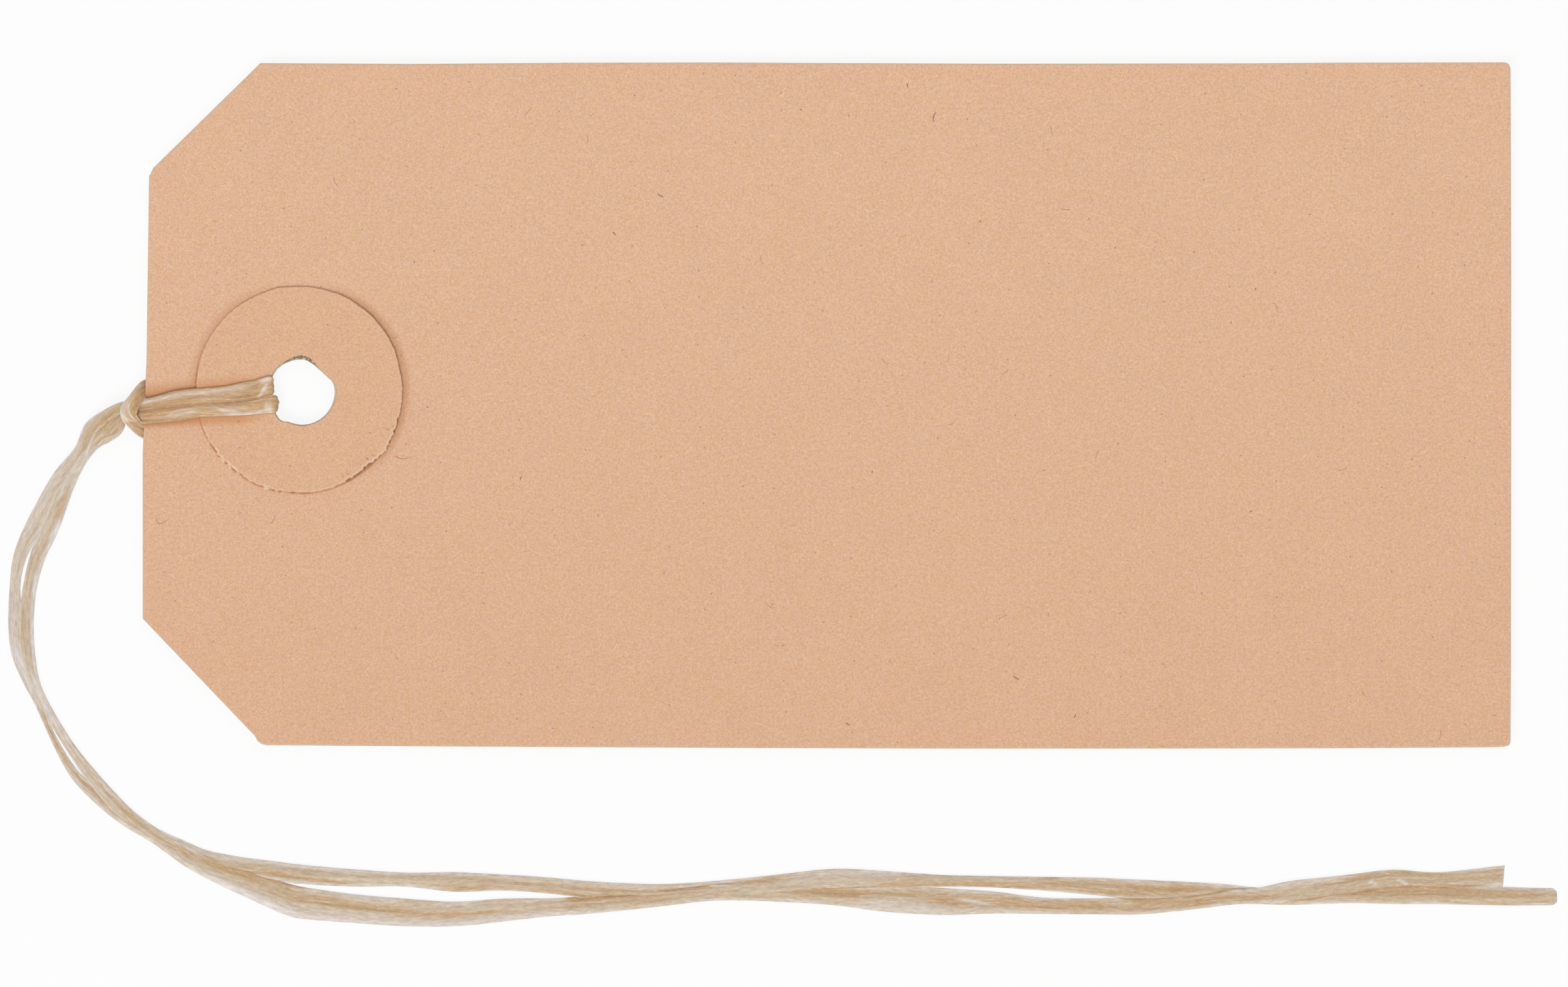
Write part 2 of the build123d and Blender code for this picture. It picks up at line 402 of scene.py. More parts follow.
patch_finish, place = start_finish("patch_paper")
patch_body, patch_grain = paper_pulp(place, (220, 175.5, 140.5), 13)
rim, torn, frayed = (place.kept(name) for name in ("from_rim", "torn", "frayed"))
flecks = place.noise(2.2, 3.0, 0.7).step(0.42, 0.62)
pale_rim = rim.step(0.3, 0.06) * (0.05 + 0.5 * torn + 0.85 * frayed * flecks)
patch_body = pale_rim.mix(patch_body, colour(238, 212, 184))
# Painted shade: a dark line along the patch's own rim, stronger where it is torn.
patch_body = (rim.step(0.08, 0.0) * (0.06 + 0.4 * torn)).mix(patch_body, colour(140, 94, 58))
# Painted shade and warm bounced light beside the string's runs.
patch_body = painted_string_shade(place, patch_body)
cut = place.kept("from_hole").step(0.1, 0.02)
patch_body = (cut * 0.3).mix(patch_body, colour(190, 160, 134))
end_paper(place, patch_body, patch_grain)
front_patch = patch_sheet("front_patch_sheet", "front_patch", 11, 318.0, 1.0)
rear_patch = patch_sheet("rear_patch_sheet", "rear_patch", 23, 140.0, 0.0)
front_patch.data.materials.append(patch_finish)
rear_patch.data.materials.append(patch_finish)

# ---------------------------------------------------------------------------------------------------------------
# Fibres: a few long hairs of the pulp that have worked loose, three of them pale ones in the torn rim, and short
# dark ones pressed into the face. All lie on the card or the patch, half sunk in it.
loose_fibres = np.array([
    [(-37.9, -4.4, 1.07), (-37.2, -4.95, 1.08), (-36.42, -4.5, 1.07)],
    [(-38.1, 6.0, 1.07), (-37.8, 5.6, 1.08), (-37.6, 6.2, 1.07)],
    [(-58.74, -9.8, 1.07), (-58.72, -10.9, 1.08), (-57.6, -9.9, 1.07)],
    [(-38.5, -2.9, 1.3), (-38.2, -3.0, 1.28), (-37.9, -2.6, 1.1)],
    [(-38.7, -3.6, 1.3), (-38.3, -3.9, 1.25), (-38.0, -3.7, 1.1)],
    [(-39.4, -4.7, 1.3), (-39.0, -4.9, 1.25), (-38.8, -4.5, 1.1)],
    [(9.63, 25.68, 1.06), (9.3, 25.3, 1.06), (9.39, 24.82, 1.06)],
    [(21.84, -27.05, 1.06), (21.85, -27.3, 1.06), (21.68, -27.39, 1.06)],
    [(-18.75, 15.17, 1.06), (-18.55, 15.1, 1.06), (-18.48, 14.86, 1.06)],
    [(-14.28, 18.26, 1.06), (-14.6, 18.3, 1.06), (-14.79, 18.55, 1.06)],
    [(-26.71, -6.23, 1.06), (-26.85, -6.4, 1.06), (-26.8, -6.56, 1.06)],
    [(37.61, 10.27, 1.06), (37.6, 10.15, 1.06), (37.68, 10.05, 1.06)],
    [(7.03, 28.22, 1.06), (7.15, 28.0, 1.06), (7.14, 27.8, 1.06)],
    [(2.07, -28.07, 1.06), (1.85, -28.0, 1.06), (1.73, -27.78, 1.06)],
    [(4.03, -5.76, 1.06), (4.03, -5.87, 1.06), (3.97, -5.95, 1.06)],
    [(-2.11, 25.86, 1.06), (-2.2, 25.89, 1.06), (-2.34, 25.86, 1.06)],
    [(13.58, 16.16, 1.06), (13.5, 16.1, 1.06), (13.45, 16.0, 1.06)],
    [(51.31, -4.68, 1.06), (51.33, -4.75, 1.06), (51.3, -4.85, 1.06)],
    [(37.33, -9.24, 1.06), (37.2, -9.3, 1.06), (37.13, -9.4, 1.06)],
    [(16.38, -23.7, 1.06), (16.6, -23.95, 1.06), (16.91, -24.03, 1.06)],
    [(-34.88, -0.22, 1.06), (-34.95, -0.17, 1.06), (-35.05, -0.16, 1.06)],
    [(-36.13, 12.62, 1.06), (-36.1, 12.5, 1.06), (-36.14, 12.44, 1.06)],
    [(-51.45, -1.4, 1.26), (-51.5, -1.45, 1.26), (-51.6, -1.46, 1.26)],
])
hair_count = 6
short_count = len(loose_fibres) - hair_count
fibre_radii = np.repeat([0.014, 0.042], [hair_count, short_count])
fibre_rows = 25
fibre_sides = 4
fibre_points = fibre_rows * fibre_sides
fibre_share = np.linspace(0.0, 1.0, fibre_rows)[:, None]
fibre_corner = np.linspace(0.0, 2 * np.pi, fibre_sides, endpoint=False)[None, :, None]


def fibre_tube(bend, thickest):
    """A thin tube along the curve (1-t)(1-t) a + 2 t (1-t) b + t t c, whose radius shrinks towards both ends."""
    start, middle, end = bend
    line = (1 - fibre_share) ** 2 * start + 2 * fibre_share * (1 - fibre_share) * middle + fibre_share ** 2 * end
    ahead = np.gradient(line, axis=0)
    side = np.cross(ahead, (0.0, 0.0, 1.0))
    side /= np.linalg.norm(side, axis=1)[:, None]
    radius = thickest * (1.0 - 0.7 * (2 * fibre_share - 1) ** 4)[:, None]
    ring = np.cos(fibre_corner) * side[:, None] + np.sin(fibre_corner) * np.array((0.0, 0.0, 1.0))
    return (line[:, None] + radius * ring).reshape(-1, 3)


tubes = [fibre_tube(bend, thickest) for bend, thickest in zip(loose_fibres, fibre_radii)]
tube_ends = [np.arange(fibre_sides), fibre_points - 1 - np.arange(fibre_sides)]
tube_quads = np.vstack([ring_quads(fibre_rows, fibre_sides, False), tube_ends])
all_quads = np.vstack([tube_quads + fibre_points * number for number in range(len(tubes))])
hairs = put_closed("loose_fibres", np.vstack(tubes), all_quads)
mark(hairs, "pale", np.repeat([0.0, 0.2, 0.0, 1.0, 1.0, 1.0, *[0.0] * short_count], fibre_points))
hair_finish, place = start_finish("loose_fibre")
dark_hair = place.noise(3.0, 2.0).mix(colour(144, 106, 80), colour(172, 134, 102))
hair_body = place.kept("pale").mix(dark_hair, colour(238, 222, 200))
end_finish(place, {"Base Color": hair_body, "Roughness": 0.7, "Specular IOR Level": 0.3})
hairs.data.materials.append(hair_finish)
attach(hairs, "tag")

# ---------------------------------------------------------------------------------------------------------------
# Hitch: the middle of one flat fibrous string, pushed through the hole from the front, brought back under the card
# and closed as a loop over its own two runs. It gathers where it is drawn round the card's end.
hitch_route = np.array([
    (-61.3, -0.12, 1.46), (-60.3, 0.0, 1.46), (-58.9, 0.17, 1.46), (-57.0, 0.52, 1.47), (-55.2, 0.7, 1.48),
    (-52.6, 0.92, 1.49), (-51.15, 1.15, 1.49), (-49.9, 1.36, 1.49), (-48.9, 1.66, 1.48), (-48.5, 1.7, 1.42),
    (-48.45, 1.68, 0.8), (-48.5, 1.66, 0.32), (-49.4, 1.5, 0.29), (-53.0, 1.2, 0.29), (-56.0, 1.15, 0.29),
    (-58.4, 1.5, 0.29), (-59.5, 1.66, 0.36), (-59.95, 1.4, 1.0), (-60.3, 0.86, 1.58), (-60.7, 0.25, 1.84),
    (-61.03, -0.25, 1.93), (-61.14, -0.76, 1.95), (-60.98, -1.2, 1.88), (-60.6, -1.64, 1.62),
    (-60.2, -2.04, 1.15),
    (-59.8, -2.36, 0.5), (-59.2, -2.45, 0.3), (-58.2, -2.0, 0.29), (-56.0, -1.2, 0.29), (-53.0, -0.6, 0.29),
    (-49.4, -0.02, 0.29), (-48.12, 0.12, 0.32), (-48.06, 0.14, 0.8), (-48.13, 0.11, 1.42), (-48.6, 0.13, 1.45),
    (-49.7, -0.02, 1.44), (-51.15, -0.25, 1.43), (-53.0, -0.37, 1.43), (-55.0, -0.48, 1.43), (-57.0, -0.74, 1.44),
    (-58.75, -0.9, 1.44), (-59.9, -1.02, 1.45), (-61.3, -1.1, 1.46),
])
hitch_width = np.array([
    0.95, 0.95, 1.05, 1.5, 1.5, 1.45, 1.65, 1.65, 1.7, 1.65, 1.4, 1.3, 1.3, 1.3, 1.3, 1.4, 1.4, 1.3, 1.2, 1.32,
    1.5, 1.5, 1.28, 1.18, 1.2, 1.2, 1.25, 1.3, 1.25, 1.3, 1.3, 1.25, 1.25, 1.5, 1.6, 1.45, 1.32, 1.16, 1.1, 1.3,
    1.26, 1.25, 1.05,
])
up, down, right = (0, 0, 1), (0, 0, -1), (1, 0, 0)
hitch_face = np.array([
    *[up] * 8, (0.3, 0, 1), (0.8, 0, 0.6), right, (0.7, 0, -0.7), *[down] * 4,
    down, (-0.3, 0.1, -0.9), (0, 0.2, -1), (0, 0.1, -1), down, down, down,
    (0, 0.1, -1), (-0.2, 0.1, -1), (-0.2, 0, -1), *[down] * 5,
    (0.7, 0, -0.7), right, (0.8, 0, 0.6), (0.3, 0, 1), *[up] * 8,
])


def spline_line(route):
    """Points along a NURBS spline that has the route's points as its control points."""
    curve = bpy.data.curves.new("string_line", "CURVE")
    curve.dimensions = "3D"
    curve.resolution_u = 12
    spline = curve.splines.new("NURBS")
    spline.points.add(len(route) - 1)
    spline.points.foreach_set("co", np.column_stack([route, np.ones(len(route))]).ravel())
    spline.order_u = 3
    spline.use_endpoint_u = True
    holder = bpy.data.objects.new("string_line", curve)
    line = bpy.data.meshes.new_from_object(holder)
    points = np.zeros(len(line.vertices) * 3)
    line.vertices.foreach_get("co", points)
    bpy.data.objects.remove(holder)
    bpy.data.curves.remove(curve)
    bpy.data.meshes.remove(line)
    return points.reshape(-1, 3)


def bands(run, across, list_of_bands):
    """The sum of soft bands over a strip. Each runs from one distance along it to another, and from one place
    across it to another, -1 and 1 being its edges. It falls off to its sides as a bell curve of its own breadth.
    """
    total = np.zeros((len(run), across.size))
    for start, end, across_start, across_end, breadth, strength in list_of_bands:
        centre = across_start + (across_end - across_start) * np.clip((run - start) / (end - start), 0, 1)
        fade = min(1.6, 0.4 * (end - start))
        ends = np.clip((run - start) / fade + 0.5, 0, 1) * np.clip((end - run) / fade + 0.5, 0, 1)
        total += strength * ends * np.exp(-((across - centre) / breadth) ** 2)
    return total


def pleat(phase):
    """A wave of straight sides with its creases rounded off, from -1 to 1."""
    sharpness = 0.96
    return np.arcsin(sharpness * np.sin(phase)) / np.arcsin(sharpness)


def flat_string(name, route, width, face, folds, sheens, seed, end_slant=0.0, end_round=0.0):
    """The string as a thin strip along its spline. Widths and facings at the route's points are carried to the
    spline's own points. Across the strip its height is two pleat waves whose phases wander along the string, less a
    groove at each fold and a droop towards both edges. Its last stretch leans by the slant and its corners close in
    by the rounding.
    """
    thickest = 0.14
    places_across = 31
    full_pleat_half = 0.65
    line = spline_line(route)
    rows = len(line)
    spans = len(route) - 2
    knots = np.clip(np.arange(len(route)) - 0.5, 0, spans)
    where = np.linspace(0.0, spans, rows)
    half = np.interp(where, knots, width / 2)
    kernel = np.hanning(15)[1:-1]
    half = np.convolve(np.pad(half, len(kernel) // 2, "edge"), kernel / kernel.sum(), "valid")[:, None]
    facing = np.column_stack([np.interp(where, knots, face[:, axis]) for axis in range(3)])
    ahead = np.gradient(line, axis=0)
    ahead /= np.linalg.norm(ahead, axis=1)[:, None]
    side = np.cross(facing, ahead)
    side /= np.linalg.norm(side, axis=1)[:, None]
    facing = np.cross(ahead, side)
    run = np.concatenate([[0.0], np.cumsum(np.linalg.norm(np.diff(line, axis=0), axis=1))])[:, None]
    across = np.sin(np.linspace(-np.pi / 2, np.pi / 2, places_across))[None, :]
    chance = np.random.default_rng(seed).uniform(0, 2 * np.pi, 6)
    drift = 1.1 * np.sin(run / 9.0 + chance[0]) + 0.5 * np.sin(run / 3.7 + chance[1]) + chance[2]
    waver = 1.6 * np.sin(run / 6.1 + chance[3]) + 0.7 * np.sin(run / 2.3 + chance[4]) + chance[5]
    crown = 0.6 * pleat(3.3 * across + drift) + 0.4 * pleat(7.4 * across + waver)
    groove = bands(run, across, folds)
    sheen = bands(run, across, sheens)
    arch = 0.075 * crown * (1.0 - 0.5 * across ** 2) - 0.045 * across ** 2 - 0.05 * np.minimum(groove, 1.2)
    lift = np.minimum(half / full_pleat_half, 1.0) * arch
    to_end = run[-1] - run
    thin = thickest * (1.0 - 0.8 * across ** 4) * (1.0 - 0.9 * np.exp(-(to_end / 0.3) ** 2))
    half = half * (1.0 - end_round * np.exp(-(to_end / 0.2) ** 2))
    lean = end_slant * np.exp(-to_end / 1.5) * across
    flat = line[:, None] + side[:, None] * (half * across)[..., None] + ahead[:, None] * lean[..., None]
    top = flat + facing[:, None] * (lift + thin / 2)[..., None]
    bottom = flat + facing[:, None] * (lift - thin / 2)[..., None]
    ring = np.concatenate([top, bottom[:, ::-1]], axis=1)
    columns = ring.shape[1]
    first = np.arange(across.size - 1)
    cap = np.column_stack([first, first + 1, columns - 2 - first, columns - 1 - first])
    quads = np.vstack([ring_quads(rows, columns, False), cap, (cap + (rows - 1) * columns)[:, ::-1]])
    piece = put_closed(name, ring.reshape(-1, 3), quads)
    kept = {"along": run + 0 * across, "across": half * across, "edge": np.abs(across) + 0 * run, "fold": groove,
            "sheen": sheen, "crown": crown}
    for label, values in kept.items():
        mark(piece, label, np.hstack([values, values[:, ::-1]]))
    return piece, line


string_finish, place = start_finish("fibre_string")
length_at, side_at, edge_at, fold_at, sheen_at, crown_at = (
    place.kept(name) for name in ("along", "across", "edge", "fold", "sheen", "crown")
)


def on_string(stretch, side, layer):
    """A place on the string for its noises, drawn out along it by the stretch, in a layer of its own."""
    return place.node("ShaderNodeCombineXYZ", {}, {"X": length_at * stretch, "Y": side, "Z": layer})


sway = on_string(0.07, 0.0, 7.0).noise(1.0, 1.0)
swayed = side_at + 2.5 * sway
fibre_place = on_string(0.045, swayed, 0.0)
cloud_place = on_string(0.14, swayed, 3.0)
fleck_place = on_string(0.22, swayed, 11.0)
fibres = fibre_place.noise(14.0, 3.0, 0.7)
threads = fibre_place.noise(4.2, 2.0, 0.6)
clouds = cloud_place.noise(1.5, 3.0, 0.6)
flecks = fleck_place.noise(11.0, 2.0, 0.6)
# The string's colour: its own golden streaks and cloudy tone, with painted shade that makes it darker golden and
# brown in its folds, creases and pleat valleys, and lighter where the painted sheens lie.
tone_and_painted_light = fold_at + 0.4 * (0.1 - crown_at).step(0.0, 0.8) + 1.3 * (clouds - 0.5) - 0.9 * sheen_at
string_body = tone_and_painted_light.step(-0.3, 0.9).mix(colour(202, 184, 160), colour(186, 151, 108))
string_body = (tone_and_painted_light.step(1.0, 1.9) * 0.7).mix(string_body, colour(158, 116, 78))
string_body = (threads.step(0.48, 0.72) * 0.45).mix(string_body, colour(215, 201, 181))
string_body = (fibres.step(0.52, 0.28) * 0.5).mix(string_body, colour(170, 135, 98))
string_body = (fibres.step(0.58, 0.75) * 0.4).mix(string_body, colour(234, 224, 210))
# Painted light: pale lilac at the thin edges, where the white below would show through, and painted highlights and
# glints where the sheens lie.
painted_see_through = edge_at.step(0.5, 0.98) * (0.4 + 0.6 * clouds.step(0.62, 0.38)) * tone_and_painted_light.step(0.9, 0.2)
string_body = painted_see_through.math("MAXIMUM", 0.75 * painted_see_through, 0.8 * sheen_at).mix(string_body, colour(217, 209, 205))
# Pale flecks are painted glints on the fibres; the dark ones below are the string's own flecks.
string_body = (flecks.step(0.55, 0.72) * 0.4).mix(string_body, colour(231, 220, 203))
string_body = (flecks.step(0.45, 0.28) * 0.2).mix(string_body, colour(178, 145, 108))
# Painted bounce light: the string is made warmer where it lies on the card, as if lit by light reflected from it.
spot = place.split()
painted_card_bounce = spot.step(-62.2, -61.3) * spot.out("Y").step(-6.0, -4.0)
string_body = painted_card_bounce.mix(string_body, place.vector("MULTIPLY", string_body, (1.06, 0.99, 0.92)))
# Painted glints: the string's brightness rises and falls in fine streaks along it.
lustre = 0.55 + 0.9 * fleck_place.noise(5.0, 2.0, 0.7)
string_body = place.node("ShaderNodeVectorMath", {"operation": "SCALE"}, {0: string_body, "Scale": lustre})
bump = place.node("ShaderNodeBump", {}, {"Height": fibres + 0.6 * threads, "Strength": 0.6, "Distance": 0.03 * MM})
end_finish(place, {"Base Color": string_body, "Roughness": 0.4 + 0.25 * fibres, "Specular IOR Level": 0.5,
                   "Normal": bump})

# Folds: grooves in the strip, and golden and brown bands in its colour. The golden is partly the string's own
# streaks and partly painted shade in its creases, between its runs and where it goes under the card's end.
hitch_folds = [
    (-2.0, 15.0, 0.0, 0.0, 2.0, 0.35),
    (0.5, 11.5, -0.5, -0.45, 0.45, 0.9),
    (0.5, 13.0, -1.0, -0.97, 0.22, 2.5),
    (0.5, 13.0, 1.0, 1.0, 0.16, 0.7),
    (0.7, 2.3, -0.7, -1.0, 0.4, 2.0),
    (5.0, 10.7, 0.35, -0.55, 0.08, 1.2),
    (9.8, 10.8, -0.5, -0.55, 0.08, 1.3),
    (10.3, 11.9, 0.4, 0.2, 0.6, 0.8),
    (12.5, 13.3, -0.3, 0.0, 0.5, 0.7),
    (24.0, 27.6, -0.6, -0.5, 0.6, 0.8),
    (24.2, 25.4, -0.5, -0.3, 0.8, 0.8),
    (27.0, 29.0, -0.6, -0.6, 0.45, 0.8),
    (29.0, 33.0, 0.0, 0.0, 0.9, 0.7),
    (28.9, 29.7, 1.0, -1.0, 0.2, 0.9),
    (43.0, 60.0, 0.0, 0.0, 2.0, 0.4),
    (44.5, 57.5, -1.0, -1.0, 0.2, 1.9),
    (45.2, 57.0, -0.75, -0.7, 0.25, 0.4),
    (43.5, 44.3, 0.0, 0.0, 0.8, 0.6),
    (45.1, 46.4, 0.0, -0.1, 0.35, 0.9),
    (46.7, 49.6, 0.5, -0.6, 0.1, 0.9),
    (49.8, 51.2, 0.0, 0.0, 0.5, 0.5),
    (50.2, 54.0, 0.85, 0.85, 0.25, 0.7),
    (50.7, 55.2, 0.5, -0.2, 0.1, 0.9),
    (52.0, 58.0, 0.0, 0.0, 2.0, 0.25),
    (56.6, 58.4, -1.0, -0.7, 0.35, 1.8),
    (54.5, 58.5, -0.6, -0.5, 0.1, 0.9),
    (54.5, 58.5, 0.0, 0.0, 0.1, 0.9),
    (54.5, 58.5, 0.6, 0.45, 0.1, 0.9),
]
# Sheens: painted highlights and glints, and paler stretches where the thin film would let light through.
hitch_sheens = [
    (-1.0, 2.2, 0.4, 0.4, 0.6, 0.5),
    (2.0, 11.0, 0.5, 0.45, 0.35, 0.5),
    (11.5, 12.5, -0.8, 0.2, 0.22, 0.8),
    (12.0, 13.0, 0.6, 0.8, 0.3, 0.7),
    (27.3, 28.9, 0.75, 0.8, 0.4, 0.45),
    (27.8, 29.0, 0.25, -0.45, 0.12, 0.9),
    (28.3, 29.3, 1.0, -0.3, 0.15, 0.7),
    (44.5, 45.1, 0.6, 0.3, 0.35, 0.8),
    (45.5, 48.4, 0.93, 0.9, 0.15, 0.7),
    (47.5, 48.8, 0.3, 0.1, 0.3, 0.4),
    (48.1, 49.9, 0.75, -0.9, 0.15, 0.5),
    (51.0, 53.6, 0.0, 0.2, 0.4, 0.45),
]
hitch, _ = flat_string("string_hitch", hitch_route, hitch_width, hitch_face, hitch_folds, hitch_sheens, 5)
hitch.data.materials.append(string_finish)
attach(hitch, "hitch")
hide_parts("hitch_loop")

# ---------------------------------------------------------------------------------------------------------------
# Tails: the two free ends of the same string. They leave the hitch side by side, drop off the card's end, bend
# round below it and lie along it, now apart and now one on the other, and the outer one crosses over near the cut
# ends.
outer_route = np.array([
    (-61.0, -0.08, 1.46), (-61.54, -0.12, 1.46), (-62.7, -0.8, 1.4), (-64.22, -1.84, 1.17),
    (-64.61, -2.47, 1.06), (-65.18, -4.09, 0.91), (-66.10, -5.18, 0.77), (-67.23, -6.45, 0.6),
    (-69.43, -10.46, 0.36), (-70.79, -13.07, 0.25), (-71.24, -15.57, 0.21), (-71.20, -18.76, 0.2),
    (-71.07, -21.61, 0.2), (-69.97, -24.43, 0.21), (-69.17, -25.95, 0.22), (-68.26, -28.36, 0.22),
    (-67.10, -30.63, 0.21), (-65.83, -32.68, 0.21), (-63.25, -34.97, 0.2), (-61.28, -36.54, 0.2),
    (-58.89, -37.89, 0.22), (-56.72, -39.25, 0.27), (-55.21, -40.12, 0.3), (-52.01, -41.48, 0.3),
    (-49.38, -42.56, 0.27), (-47.0, -43.45, 0.23), (-46.0, -43.68, 0.21), (-41.66, -44.15, 0.2),
    (-37.09, -44.50, 0.2),
    (-32.44, -44.69, 0.2), (-28.55, -44.27, 0.2), (-24.18, -44.03, 0.21), (-20.65, -43.84, 0.24),
    (-14.38, -43.25, 0.27), (-9.69, -42.66, 0.265), (-4.51, -42.78, 0.22), (0.71, -42.99, 0.2), (5.13, -43.26, 0.2),
    (10.45, -43.57, 0.2), (14.63, -43.57, 0.2), (18.89, -43.95, 0.2), (23.56, -43.95, 0.21), (27.42, -43.91, 0.25),
    (32.25, -43.62, 0.28), (35.27, -43.10, 0.285), (37.84, -43.02, 0.29), (40.75, -42.72, 0.29),
    (45.94, -42.00, 0.285), (49.86, -41.53, 0.28), (53.35, -41.70, 0.25), (59.1, -41.35, 0.15),
    (59.46, -41.33, 0.14),
])
outer_width = np.array([
    0.9, 1.05, 1.3, 1.5, 1.45, 1.45, 1.55, 1.6, 1.6, 1.2, 0.88, 1.25, 1.2, 0.9, 0.7, 0.5, 0.65, 0.9, 1.2, 1.1, 1.05,
    1.5, 1.75, 2.15, 2.4, 2.75, 2.8, 2.5, 2.45, 2.15, 2.05, 1.55, 1.55, 1.4, 1.4, 1.5, 1.65, 2.4, 2.4, 1.95,
    1.4, 1.4, 1.6, 1.25, 1.4, 1.3, 2.05, 1.65, 1.8, 1.25, 1.88, 1.9,
])
inner_route = np.array([
    (-61.0, -1.02, 1.46), (-61.59, -0.88, 1.46), (-62.42, -1.88, 1.42), (-63.59, -2.73, 1.21),
    (-64.23, -3.39, 1.07), (-65.16, -4.48, 0.9), (-65.55, -5.07, 0.8), (-66.64, -6.78, 0.64),
    (-68.13, -10.80, 0.42), (-69.21, -13.13, 0.27), (-69.89, -15.71, 0.21), (-70.26, -18.75, 0.24),
    (-70.14, -21.63, 0.255), (-69.58, -24.26, 0.27), (-68.83, -25.81, 0.265), (-67.59, -28.04, 0.22),
    (-66.20, -30.24, 0.21), (-64.67, -32.30, 0.22), (-62.83, -34.50, 0.26), (-60.97, -36.32, 0.26),
    (-58.80, -37.75, 0.22), (-56.40, -38.90, 0.19), (-54.75, -39.68, 0.18), (-51.54, -40.44, 0.18),
    (-48.94, -40.78, 0.19), (-46.46, -41.14, 0.2), (-41.66, -41.48, 0.2), (-37.09, -41.59, 0.2),
    (-32.44, -41.85, 0.2), (-28.55, -41.83, 0.2), (-24.18, -42.12, 0.2), (-20.66, -42.57, 0.2),
    (-14.38, -42.76, 0.2), (-9.69, -42.48, 0.2), (-4.51, -42.03, 0.24), (0.71, -41.54, 0.265),
    (5.13, -41.62, 0.255), (10.45, -41.74, 0.21), (14.63, -41.78, 0.2), (18.89, -41.96, 0.2), (23.56, -42.19, 0.2),
    (27.42, -42.49, 0.2), (32.25, -42.68, 0.2), (35.27, -42.86, 0.2), (37.85, -43.05, 0.2), (40.76, -43.08, 0.2),
    (45.94, -42.89, 0.2), (49.87, -42.94, 0.2), (53.39, -42.92, 0.2), (59.53, -43.07, 0.2), (61.82, -43.10, 0.2),
    (63.7, -43.11, 0.13), (64.13, -43.11, 0.12),
])
inner_width = np.array([
    0.95, 0.95, 1.95, 1.65, 1.05, 1.05, 1.1, 1.45, 1.65, 1.38, 1.2, 1.3, 1.3, 1.0, 0.8, 0.8, 0.85, 1.1, 1.3,
    1.25, 1.1, 1.35, 1.35, 1.6, 1.7, 1.7, 1.55, 1.15, 1.8, 1.4, 1.4, 1.55, 1.4, 1.5, 1.65, 1.95, 1.55, 1.0,
    1.0, 1.2, 1.55, 1.75,
    1.7, 1.7, 1.4, 1.55, 1.5, 1.65, 1.65, 1.65, 1.55, 1.5, 1.5,
])
# The tails' folds and sheens, the outer tail's and then the inner's, paint as the hitch's do: golden bands partly
# painted crease shade, and sheens painted highlights and light through the film.
outer_folds = [
    (1.0, 5.5, -0.2, 0.1, 0.9, 0.3),
    (2.0, 5.0, 0.5, 0.2, 0.15, 0.7),
    (5.5, 11.0, 0.3, 0.5, 0.22, 0.7),
    (12.0, 21.0, 0.35, 0.2, 0.25, 0.35),
    (31.0, 42.0, 0.0, 0.2, 0.45, 0.7),
    (48.0, 56.0, 0.2, 0.6, 0.3, 0.6),
    (59.0, 78.0, 0.2, -0.05, 0.14, 0.8),
    (104.0, 110.0, 0.1, 0.3, 0.35, 0.7),
    (116.0, 131.0, 0.3, 0.3, 0.35, 0.5),
    (51.0, 60.5, 0.95, 1.0, 0.16, 1.5),
    (84.0, 96.0, 1.0, 1.0, 0.5, 2.4),
    (133.0, 142.0, 0.95, 1.0, 0.32, 2.1),
    (134.0, 140.0, 0.35, 0.0, 0.25, 0.5),
    (139.0, 145.0, 0.2, -0.1, 0.15, 1.1),
    (147.0, 164.5, -1.0, -0.95, 0.25, 2.0),
    (100.0, 168.0, 0.0, 0.0, 2.0, 0.12),
]
outer_sheens = [
    (3.0, 40.0, 0.0, 0.0, 1.5, 0.14),
    (9.0, 26.0, -0.5, -0.4, 0.6, 0.4),
    (36.0, 60.0, -0.7, -0.8, 0.5, 0.35),
    (6.0, 24.0, 0.75, 0.7, 0.25, 0.3),
    (25.0, 30.0, 0.0, 0.0, 0.8, 0.9),
    (52.0, 84.0, -0.85, -0.8, 0.4, 0.75),
    (110.0, 117.0, -0.6, -0.7, 0.4, 0.6),
    (146.0, 152.0, 0.7, 0.6, 0.35, 0.3),
    (118.5, 121.0, 0.2, -0.2, 0.15, 0.7),
    (154.4, 155.1, 0.1, -0.5, 0.12, 1.3),
    (157.0, 157.8, 0.0, -0.6, 0.12, 1.3),
    (165.0, 166.0, -0.9, -0.9, 0.4, 0.6),
    (166.3, 168.0, 0.0, 0.0, 2.0, 0.8),
]
inner_folds = [
    (0.5, 5.0, 0.0, 0.0, 1.2, 0.3),
    (1.0, 4.5, 0.6, 0.1, 0.12, 0.7),
    (0.5, 3.4, -1.0, -1.0, 0.4, 1.0),
    (4.6, 9.0, -1.0, -0.95, 0.35, 0.9),
    (9.0, 24.0, 0.0, -0.2, 0.4, 0.45),
    (14.0, 22.0, -0.6, -0.5, 0.15, 0.4),
    (44.0, 56.0, -0.1, -0.3, 0.3, 0.6),
    (54.0, 62.0, -0.1, -0.6, 0.22, 0.8),
    (70.0, 92.0, -0.6, -0.7, 0.35, 0.7),
    (81.0, 92.0, -0.6, -0.5, 0.4, 0.6),
    (100.0, 111.0, -1.0, -1.0, 0.22, 1.9),
    (108.0, 128.0, -0.5, -0.5, 0.4, 0.6),
    (128.0, 136.0, -0.5, 0.3, 0.3, 0.6),
    (146.0, 166.0, 0.5, 0.4, 0.6, 0.6),
    (100.0, 170.0, 0.0, 0.0, 2.0, 0.12),
]
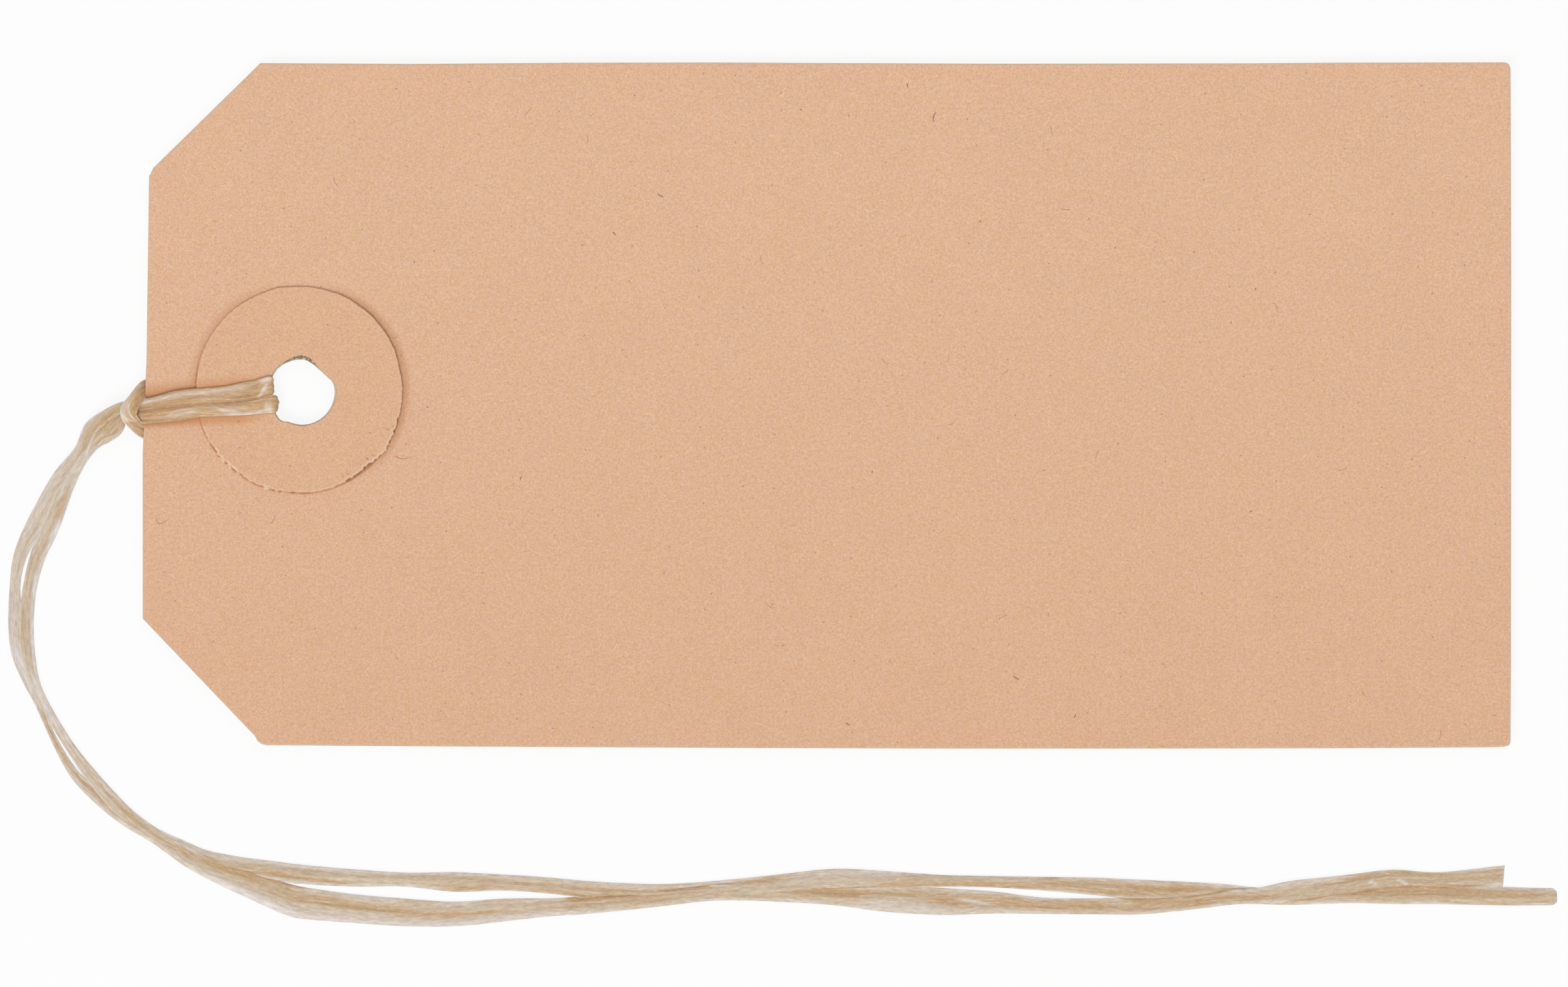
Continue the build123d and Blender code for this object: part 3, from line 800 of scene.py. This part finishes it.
inner_sheens = [
    (3.0, 40.0, 0.0, 0.0, 1.5, 0.16),
    (3.2, 4.4, -0.9, -0.55, 0.14, 0.9),
    (4.3, 5.4, -0.55, 0.3, 0.16, 1.0),
    (5.5, 9.5, -0.3, -0.2, 0.3, 0.5),
    (4.5, 9.0, 0.9, 0.9, 0.35, 0.6),
    (12.0, 27.0, 0.85, 0.85, 0.3, 0.7),
    (11.8, 13.4, 0.75, 0.75, 0.25, 1.2),
    (16.8, 18.6, 0.5, 0.8, 0.3, 1.2),
    (26.0, 30.5, -0.2, -0.2, 0.5, 0.6),
    (26.0, 34.0, 0.2, 0.2, 0.6, 0.5),
    (44.0, 66.0, 0.9, 0.9, 0.35, 0.65),
    (66.0, 92.0, 0.9, 0.9, 0.3, 0.4),
    (100.0, 110.0, 0.5, 0.6, 0.5, 0.4),
    (160.0, 166.0, 0.85, 0.85, 0.25, 0.5),
    (167.5, 169.0, 0.0, 0.0, 2.0, 0.5),
]
for name, node, route, width, folds, sheens, seed, end_slant, end_round, held in (
    ("string_outer_tail", "outer_tail", outer_route, outer_width, outer_folds, outer_sheens, 31, 0.14, 0.0, []),
    ("string_inner_tail", "inner_tail", inner_route, inner_width, inner_folds, inner_sheens, 47, -0.02, 0.35,
     [hitch]),
):
    facing = np.tile(up, (len(route), 1))
    tail, tail_line = flat_string(name, route, width, facing, folds, sheens, seed, end_slant, end_round)
    tail.data.materials.append(string_finish)
    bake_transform(tail)
    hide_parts(node)
    route[1] * MM
    tail_line * MM

# ---------------------------------------------------------------------------------------------------------------
# Stage: a plain white floor under a soft white sky, one broad lamp from the lower left and a weak one opposite. The
# camera looks straight down from far off, as the photograph does.
floor_reach = 900.0
floor_corners = np.array([(-1, -1), (1, -1), (1, 1), (-1, 1)]) * floor_reach
floor_points = np.vstack([np.column_stack([floor_corners, np.full(4, height)]) for height in (-2.0, 0.0)])
floor = put_closed("floor", floor_points, np.vstack([ring_quads(2, 4, False), [(0, 1, 2, 3), (7, 6, 5, 4)]]))


def seen_rays(shade):
    """One for a ray that the camera sees by, straight, mirrored or through glass, and nought for bounced light."""
    ray = shade.node("ShaderNodeLightPath")
    straight = ray.math("MAXIMUM", ray.out("Is Camera Ray"), ray.out("Is Glossy Ray"))
    return ray.math("MAXIMUM", straight, ray.out("Is Transmission Ray"))


floor_finish, place = start_finish("floor_white")
matt = place.node("ShaderNodeBsdfDiffuse", {}, {"Color": (0.9, 0.9, 0.9, 1.0)})
glow = place.node("ShaderNodeEmission", {}, {"Color": (0.995, 0.995, 0.995, 1.0), "Strength": 1.0})
surface = place.node("ShaderNodeMixShader", {}, {0: seen_rays(place) * 0.88, 1: matt, 2: glow})
place.node("ShaderNodeOutputMaterial", {}, {"Surface": surface})
floor.data.materials.append(floor_finish)

sky = bpy.data.worlds.new("soft_sky")
bpy.context.scene.world = sky
sky.use_nodes = True
sky.node_tree.nodes.clear()
seen = seen_rays(Shade(sky.node_tree))
light = seen.node("ShaderNodeBackground", {}, {"Color": (1.0, 1.0, 1.0, 1.0), "Strength": 0.52 + 0.48 * seen})
seen.node("ShaderNodeOutputWorld", {}, {"Surface": light})


def soft_lamp(name, place, power, size):
    """A square lamp that faces the card's middle."""
    lamp = bpy.data.lights.new(name, "AREA")
    lamp.energy = power
    lamp.size = size
    holder = bpy.data.objects.new(name, lamp)
    holder.location = place
    holder.rotation_euler = (-holder.location).to_track_quat("-Z", "Y").to_euler()
    holder.visible_camera = False
    bpy.context.scene.collection.objects.link(holder)


soft_lamp("main_lamp", (-0.8, -1.5, 2.1), 39.0, 1.4)
soft_lamp("fill_lamp", (0.25, 0.6, 0.6), 1.1, 0.5)

lens = bpy.data.cameras.new("camera")
lens.lens = 200.0
lens.sensor_width = 36.0
camera = bpy.data.objects.new("camera", lens)
camera.location = (-0.00371, -0.00774, 0.7647)
bpy.context.scene.collection.objects.link(camera)
bpy.context.scene.camera = camera
bpy.context.scene.view_settings.view_transform = "Standard"
